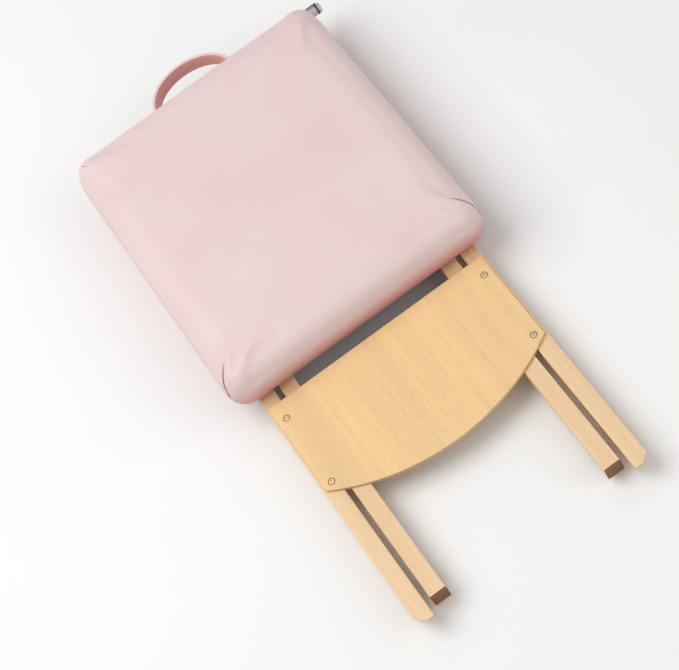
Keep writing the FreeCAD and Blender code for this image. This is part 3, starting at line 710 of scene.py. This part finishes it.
# ------------------------------------------------------------------ carrying strap
def strap_route(offset=0.0, arc_steps=56):
    """Middle line of the strap in plan, moved outwards by offset; (x, y) and outward normal."""
    t = settings("strap").thickness
    mid = (STRAP_LO.x + STRAP_HI.x) / 2
    y0 = STRAP_LO.y
    half = (STRAP_HI.x - STRAP_LO.x) / 2 - STRAP_FOOT + t / 2
    rx, ry = half - t / 2, STRAP_HI.y - y0 - t / 2
    line = []
    for k in range(arc_steps + 1):
        a = math.pi * k / arc_steps
        n = Vector((math.cos(a) / rx, math.sin(a) / ry)).normalized()
        line.append((Vector((mid + rx * math.cos(a), y0 + ry * math.sin(a))), n))
    arch = [p for p in line if p[0].y - y0 > STRAP_BEND + t / 2]
    feet = []
    for side in (1, -1):
        ends = []
        outer = Vector((mid + side * (half + STRAP_FOOT - t / 2), y0 + t / 2))
        turn = Vector((mid + side * (rx + STRAP_BEND), y0 + t / 2 + STRAP_BEND))
        for k in range(4):
            x = outer.x - side * k * (STRAP_FOOT - STRAP_BEND - t) / 4
            ends.append((Vector((x, outer.y)), Vector((0, 1))))
        for k in range(6):
            a = math.radians(90 * k / 5)
            p = turn + Vector((-side * math.sin(a), -math.cos(a))) * STRAP_BEND
            ends.append((p, Vector((side * math.sin(a), math.cos(a)))))
        feet.append(ends)
    route = feet[0] + arch + list(reversed(feet[1]))
    return [(p + n * offset, n) for p, n in route]


class NAILTABLE_OT_strap(bpy.types.Operator):
    """Build the stitched carrying strap"""
    bl_idname = "nail_table.strap"
    bl_label = "Carrying Strap"

    def execute(self, context):
        s = settings("strap")
        tall = STRAP_HI.z - STRAP_LO.z
        z_mid = (STRAP_HI.z + STRAP_LO.z) / 2
        half_t = s.thickness / 2
        section = self.section(tall, half_t)
        seam_width, seam_depth, puffed = 0.0011, 0.00045, 0.0003
        route = strap_route()
        rings = []
        for k, (p, out) in enumerate(route):
            sag = -STRAP_SAG * math.sin(math.pi * k / (len(route) - 1))
            ring = []
            for n, z in section:
                on_face = abs(abs(n) - half_t) < 1e-6
                seam = math.exp(-((abs(z) - (tall / 2 - s.hem)) / seam_width) ** 2) if on_face else 0.0
                puff = puffed * (1 - (2 * z / tall) ** 2) if on_face else 0.0
                q = p + out * math.copysign(abs(n) - seam_depth * seam + puff, n)
                ring.append((q.x, q.y, z_mid + z + sag))
            rings.append(ring)
        strap = mesh_object("carrying_strap", skin_rings(rings))
        outside = vinyl_finish("strap_outside", tuple(s.outside), darker(tuple(s.outside), 0.8))
        # The inner face gets a deeper pink: painted shade on the side turned away from the light
        inside = vinyl_finish("strap_lining", tuple(s.inside), darker(tuple(s.inside), 0.72))
        strap.data.materials.append(outside)
        strap.data.materials.append(inside)
        for face in strap.data.polygons:
            near = min(route, key=lambda r: (r[0] - face.center.xy).length)
            inward = (face.center.xy - near[0]).dot(near[1]) < -half_t * 0.75
            face.material_index = 1 if inward else 0
        round_off = strap.modifiers.new("Round", "SUBSURF")
        round_off.levels = round_off.render_levels = 1
        settle(strap)
        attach(strap, "top")
        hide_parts("handle_strap")
        return {"FINISHED"}

    def section(self, tall, half_t):
        """Cross-section of the strap: rounded edges, and seven steps on each flat face."""
        edge, face_run = 0.0012, 7
        corners = []
        for ux, uz, start in ((1, 1, 0), (-1, 1, 90), (-1, -1, 180), (1, -1, 270)):
            for k in range(4):
                a = math.radians(start + 30 * k)
                corners.append((ux * (half_t - edge) + edge * math.cos(a),
                                uz * (tall / 2 - edge) + edge * math.sin(a)))
        points = []
        for (n, z), (_, z_next) in zip(corners, corners[1:] + corners[:1]):
            points.append((n, z))
            if abs(z_next - z) > tall / 2:
                points.extend((n, z + (z_next - z) * j / face_run) for j in range(1, face_run))
        return points


class NAILTABLE_OT_stitches(bpy.types.Operator):
    """Sew two rows of stitches on each face of the strap"""
    bl_idname = "nail_table.stitches"
    bl_label = "Strap Stitches"

    def execute(self, context):
        s = settings("strap")
        z_mid = (STRAP_HI.z + STRAP_LO.z) / 2
        rise = (STRAP_HI.z - STRAP_LO.z) / 2 - s.hem
        paths = []
        sunk, unsewn = 0.00022, 6
        for side in (-1, 1):
            route = strap_route(side * (s.thickness / 2 - sunk), 90)
            last = len(route) - 1
            for up in (-1, 1):
                paths.append([(p.x, p.y, z_mid + up * rise - STRAP_SAG * math.sin(math.pi * k / last))
                              for k, (p, _) in enumerate(route) if unsewn < k < last - unsewn])
        thread = speckled_finish("sewing_thread", tuple(s.thread), 2200.0, 0.7, 0.00004)
        item = bead("stitch", s.stitch, 0.0009, 0.0008)
        run = lay_run("strap_stitches", paths, item, s.pitch, thread, 0.08)
        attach(run, "top")
        return {"FINISHED"}


# ------------------------------------------------------------------ staples under the top
def staple(name):
    """Wire staple: a crown and two short legs, lying along Z, legs towards +Y."""
    bm = bmesh.new()
    half, leg, r = 0.005, 0.0018, 0.0004
    line = [Vector((0, y, z)) for y, z in ((leg, -half), (r * 2, -half), (0, -half + r * 2),
                                           (0, half - r * 2), (r * 2, half), (leg, half))]
    side = Vector((1, 0, 0))
    rings = []
    for before, p, after in zip(line[:1] + line, line, line[1:] + line[-1:]):
        other = (after - before).normalized().cross(side)
        rings.append([bm.verts.new(p + side * x * r * 1.4 + other * y * r)
                      for x, y in ((1, 1), (-1, 1), (-1, -1), (1, -1))])
    for a, b in zip(rings, rings[1:]):
        for j in range(4):
            bm.faces.new((a[j], a[(j + 1) % 4], b[(j + 1) % 4], b[j]))
    bm.faces.new(rings[0])
    bm.faces.new(rings[-1])
    bmesh.ops.recalc_face_normals(bm, faces=bm.faces)
    return mesh_object(name, bm, smooth=False)


class NAILTABLE_OT_staples(bpy.types.Operator):
    """Staple the turned-under vinyl and the dust cloth to the frame"""
    bl_idname = "nail_table.staples"
    bl_label = "Staples"

    def execute(self, context):
        h = settings("hardware")
        z = TOP_LO.z - 0.0002
        paths = [outline(TOP_LO, TOP_HI, inset, corner, z, 5, 24) for inset, corner in STAPLE_ROWS]
        steel = metal_finish("staple_wire", tuple(h.zinc), 1.0, 0.35)
        run = lay_run("staples", paths, staple("staple"), h.staple_pitch, steel, 0.04, closed=True)
        for v in run.data.vertices:
            v.co.z = clamped(v.co.z, TOP_LO.z - 0.0006, TOP_LO.z + 0.0008)
        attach(run, "top")
        return {"FINISHED"}


# ------------------------------------------------------------------ finishes of the CAD pieces
class NAILTABLE_OT_wood(bpy.types.Operator):
    """Lacquer the legs and rails, and face the plywood"""
    bl_idname = "nail_table.wood"
    bl_label = "Wood Finishes"

    def execute(self, context):
        w = settings("wood")
        square_end = (0, -1, 0)
        nose = (0.0, -math.cos(NOSE_TILT), -math.sin(NOSE_TILT))
        for side in ("right", "left"):
            inner, outer = "inner_leg_" + side, "outer_leg_" + side
            lo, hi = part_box(inner)
            dress(beech_finish("inner_leg_wood_" + side, 1, [(lo, square_end, w.end_grain)]), inner)
            lo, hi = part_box(outer)
            tip = Vector((lo.x, lo.y, hi.z))
            dress(beech_finish("outer_leg_wood_" + side, 1, [(tip, nose, w.nose)]), outer)
        dress(beech_finish("rail_wood", 0),
              "inner_rail_upper", "inner_rail_lower", "handle_end_rail", "far_end_rail")
        dress(beech_finish("side_rail_wood", 1), "side_rail_right", "side_rail_left")
        for sheet, name, plies in (("leg_panel", "panel_plywood", 3), ("top_board", "board_plywood", 7)):
            lo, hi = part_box(sheet)
            dress(plywood_finish(name, 1, lo.z, hi.z - lo.z, plies), sheet)
        return {"FINISHED"}


class NAILTABLE_OT_hardware(bpy.types.Operator):
    """Finish the brackets, fasteners, side peg, rubber and dust cloth"""
    bl_idname = "nail_table.hardware"
    bl_label = "Hardware Finishes"

    def execute(self, context):
        h = settings("hardware")
        dress(speckled_finish("black_coat", tuple(h.black), 1500.0, 0.42, 0.00008),
              "pivot_bracket_right", "pivot_bracket_left", "seat_bracket_right", "seat_bracket_left",
              "side_peg_bracket", "foot_bar", "handle_anchor_plates", "peg_keeper_wire")
        dress(metal_finish("zinc_plate", tuple(h.zinc), 1.0, 0.32),
              "pivot_pins", "pivot_bracket_screws", "seat_bracket_screws", "handle_anchor_screws",
              "side_peg_screws", "foot_pins", "cross_bolts", "spacer_washers",
              "nut_washers", "cross_nuts", "inner_rail_screws", "side_peg", "spring_plungers")
        dress(metal_finish("brassed_screw", tuple(h.brassed), 0.55, 0.38), "panel_screws")
        dress(metal_finish("turned_cap", tuple(h.cap), 0.75, 0.30, 0.3, 1), "side_peg_cap")
        dress(speckled_finish("black_rubber", tuple(h.rubber), 900.0, 0.75, 0.0001),
              "side_peg_ring", "leg_bumpers", "foot_soles")
        dress(weave_finish("dust_cloth", tuple(h.cloth)), "underside_cloth")
        return {"FINISHED"}


# ------------------------------------------------------------------ floor, light and camera
class NAILTABLE_OT_stage(bpy.types.Operator):
    """Lay the floor, set soft lights and place the camera"""
    bl_idname = "nail_table.stage"
    bl_label = "Stage"

    def execute(self, context):
        s = settings("stage")
        bm = bmesh.new()
        bmesh.ops.create_grid(bm, x_segments=4, y_segments=4, size=6.0)
        floor = mesh_object("studio_floor", bm)
        f = Finish("studio_floor_paint")
        mottle = f.remap(f.noise(f.place, 3.0, 2.0), 0.3, 0.7)
        tint = f.blend(mottle, tuple(s.floor), darker(tuple(s.floor), 0.985))
        f.set(Specular_IOR_Level=0.1)
        floor.data.materials.append(f.finish(tint, f.remap(mottle, 0.0, 1.0, 0.9, 0.95)))

        world = bpy.data.worlds.new("studio_sky")
        world.use_nodes = True
        sky = world.node_tree.nodes["Background"]
        sky.inputs["Color"].default_value = (1.0, 0.995, 0.99, 1.0)
        sky.inputs["Strength"].default_value = s.sky
        context.scene.world = world

        centre = Vector(((TOP_LO.x + TOP_HI.x) / 2, 0.0, 0.0))
        for name, offset, power, size in (("key", (-1.3, 0.5, 2.3), s.key, 2.2),
                                          ("fill", (1.9, -1.5, 1.6), s.fill, 2.0)):
            self.lamp(name, centre + Vector(offset), centre, power, size)

        camera = add_object("camera", bpy.data.cameras.new("camera"))
        camera.data.lens = s.lens
        camera.data.sensor_width = 36.0
        camera.data.clip_end = 50.0
        spot = Vector((-0.1202, -1.7458, 2.4098))
        aim = Vector((-0.0433, -0.0673, 0.0580))
        look = (aim - spot).normalized()
        camera.rotation_mode = "QUATERNION"
        camera.rotation_quaternion = Quaternion(look, s.roll) @ look.to_track_quat("-Z", "Y")
        camera.location = spot
        context.scene.camera = camera
        context.scene.view_settings.view_transform = "Standard"
        return {"FINISHED"}

    def lamp(self, name, place, aim, power, size):
        """A square soft light that faces a point."""
        data = bpy.data.lights.new(name, "AREA")
        data.energy = power
        data.size = size
        obj = add_object(name, data)
        obj.location = place
        obj.rotation_mode = "QUATERNION"
        obj.rotation_quaternion = (aim - place).normalized().to_track_quat("-Z", "Y")


class NAILTABLE_PT_panel(bpy.types.Panel):
    """Builders and settings of the manicure table"""
    bl_idname = "NAILTABLE_PT_panel"
    bl_label = "Manicure Table"
    bl_space_type = "VIEW_3D"
    bl_region_type = "UI"
    bl_category = "Manicure Table"

    def draw(self, context):
        column = self.layout.column()
        for operator in OPERATORS:
            column.operator(operator.bl_idname)
        for group in GROUPS:
            box = self.layout.box()
            box.label(text=group.capitalize())
            values = settings(group)
            for key in values.__annotations__:
                box.prop(values, key)


OPERATORS = (NAILTABLE_OT_pad, NAILTABLE_OT_strap, NAILTABLE_OT_stitches, NAILTABLE_OT_staples,
             NAILTABLE_OT_wood, NAILTABLE_OT_hardware, NAILTABLE_OT_stage)
GROUPS = {"pad": PadSettings, "strap": StrapSettings, "wood": WoodSettings,
          "hardware": HardwareSettings, "stage": StageSettings}
CLASSES = (*GROUPS.values(), *OPERATORS, NAILTABLE_PT_panel)


def register():
    for cls in CLASSES:
        bpy.utils.register_class(cls)
    for name, cls in GROUPS.items():
        setattr(bpy.types.Scene, "nail_table_" + name, PointerProperty(type=cls))


def unregister():
    for name in GROUPS:
        delattr(bpy.types.Scene, "nail_table_" + name)
    for cls in reversed(CLASSES):
        bpy.utils.unregister_class(cls)


def main():
    """Build every piece and light it."""
    register()
    bpy.ops.nail_table.pad()
    bpy.ops.nail_table.strap()
    bpy.ops.nail_table.stitches()
    bpy.ops.nail_table.staples()
    bpy.ops.nail_table.wood()
    bpy.ops.nail_table.hardware()
    bpy.ops.nail_table.stage()
    bpy.context.view_layer.update()


if __name__ == "__main__":
    main()
